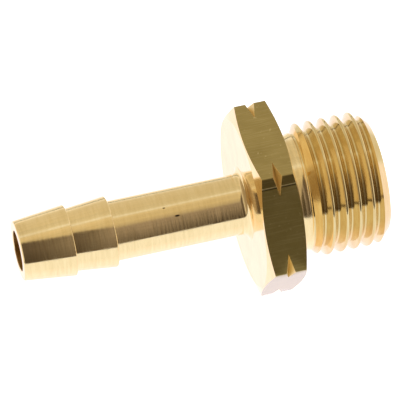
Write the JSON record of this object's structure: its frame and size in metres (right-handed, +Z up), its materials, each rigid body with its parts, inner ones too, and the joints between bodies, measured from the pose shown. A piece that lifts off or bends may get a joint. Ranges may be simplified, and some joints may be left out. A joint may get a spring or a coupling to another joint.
{
  "type": "hose barb tail",
  "caption": "Brass hose tail turned from hexagon bar: barbed spigot for a small hose, thin notched spanner hexagon and parallel left-hand external thread, bored through.",
  "frame": {"origin": "on the fitting's axis, in the plane of the hexagon's shoulder that seats when the thread is screwed in", "axes": "+X along the axis towards the thread's end, the hose tail towards -X, and +Z up, at right angles to one hexagon flat, so that the opposite flat faces down"},
  "size_m": [0.0358, 0.0196, 0.017],
  "materials": {
    "brass": "bright turned brass, with drawn-bar hexagon flats"
  },
  "bodies": {
    "root": {"hose_barb_tail": "brass"}
  },
  "joints": []
}
